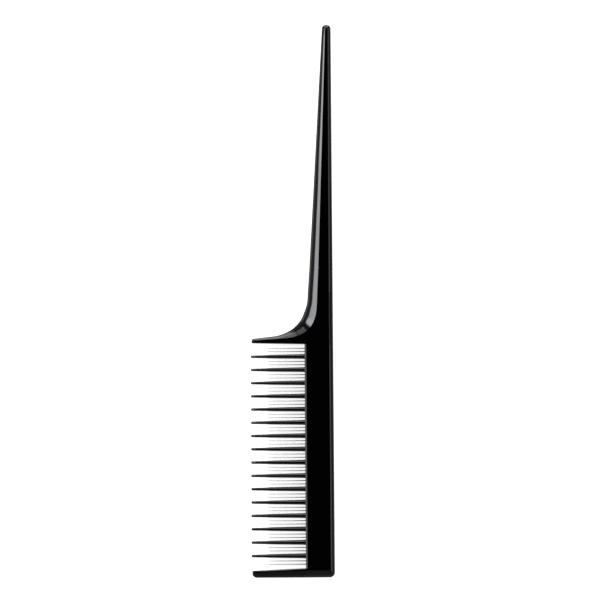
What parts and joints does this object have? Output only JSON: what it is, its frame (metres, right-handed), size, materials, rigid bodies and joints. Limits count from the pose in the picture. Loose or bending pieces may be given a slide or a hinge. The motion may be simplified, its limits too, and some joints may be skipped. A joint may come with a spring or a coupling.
{
  "type": "wide tooth tail comb",
  "caption": "Flat moulded tail comb with wide-set long teeth, fine short teeth between them, a stout guard tooth at each end of the row and a long tapered tail for parting hair.",
  "frame": {"origin": "under the middle of the whole comb as it lies flat: centre of the bounding box, on its bottom face", "axes": "+Y along the straight back, from the toothed end to the tail's point; teeth point to -X; +Z through the thickness"},
  "size_m": [0.0326, 0.22, 0.004],
  "materials": {
    "comb_plastic": "black moulded plastic, polished, with fine handling scratches"
  },
  "bodies": {
    "root": {"spine": "comb_plastic", "shoulder": "comb_plastic", "tail": "comb_plastic", "front_guard_tooth": "comb_plastic", "end_guard_tooth": "comb_plastic", "long_tooth_01": "comb_plastic", "long_tooth_02": "comb_plastic", "long_tooth_03": "comb_plastic", "long_tooth_04": "comb_plastic", "long_tooth_05": "comb_plastic", "long_tooth_06": "comb_plastic", "long_tooth_07": "comb_plastic", "long_tooth_08": "comb_plastic", "long_tooth_09": "comb_plastic", "long_tooth_10": "comb_plastic", "long_tooth_11": "comb_plastic", "long_tooth_12": "comb_plastic", "long_tooth_13": "comb_plastic", "long_tooth_14": "comb_plastic", "long_tooth_15": "comb_plastic", "long_tooth_16": "comb_plastic", "short_tooth_01": "comb_plastic", "short_tooth_02": "comb_plastic", "short_tooth_03": "comb_plastic", "short_tooth_04": "comb_plastic", "short_tooth_05": "comb_plastic", "short_tooth_06": "comb_plastic", "short_tooth_07": "comb_plastic", "short_tooth_08": "comb_plastic", "short_tooth_09": "comb_plastic", "short_tooth_10": "comb_plastic", "short_tooth_11": "comb_plastic", "short_tooth_12": "comb_plastic", "short_tooth_13": "comb_plastic", "short_tooth_14": "comb_plastic", "short_tooth_15": "comb_plastic", "short_tooth_16": "comb_plastic", "short_tooth_17": "comb_plastic", "short_tooth_18": "comb_plastic", "short_tooth_19": "comb_plastic", "short_tooth_20": "comb_plastic", "short_tooth_21": "comb_plastic", "short_tooth_22": "comb_plastic", "short_tooth_23": "comb_plastic", "short_tooth_24": "comb_plastic", "short_tooth_25": "comb_plastic", "short_tooth_26": "comb_plastic", "short_tooth_27": "comb_plastic", "short_tooth_28": "comb_plastic", "short_tooth_29": "comb_plastic", "short_tooth_30": "comb_plastic", "short_tooth_31": "comb_plastic", "short_tooth_32": "comb_plastic", "short_tooth_33": "comb_plastic", "short_tooth_34": "comb_plastic"}
  },
  "joints": []
}
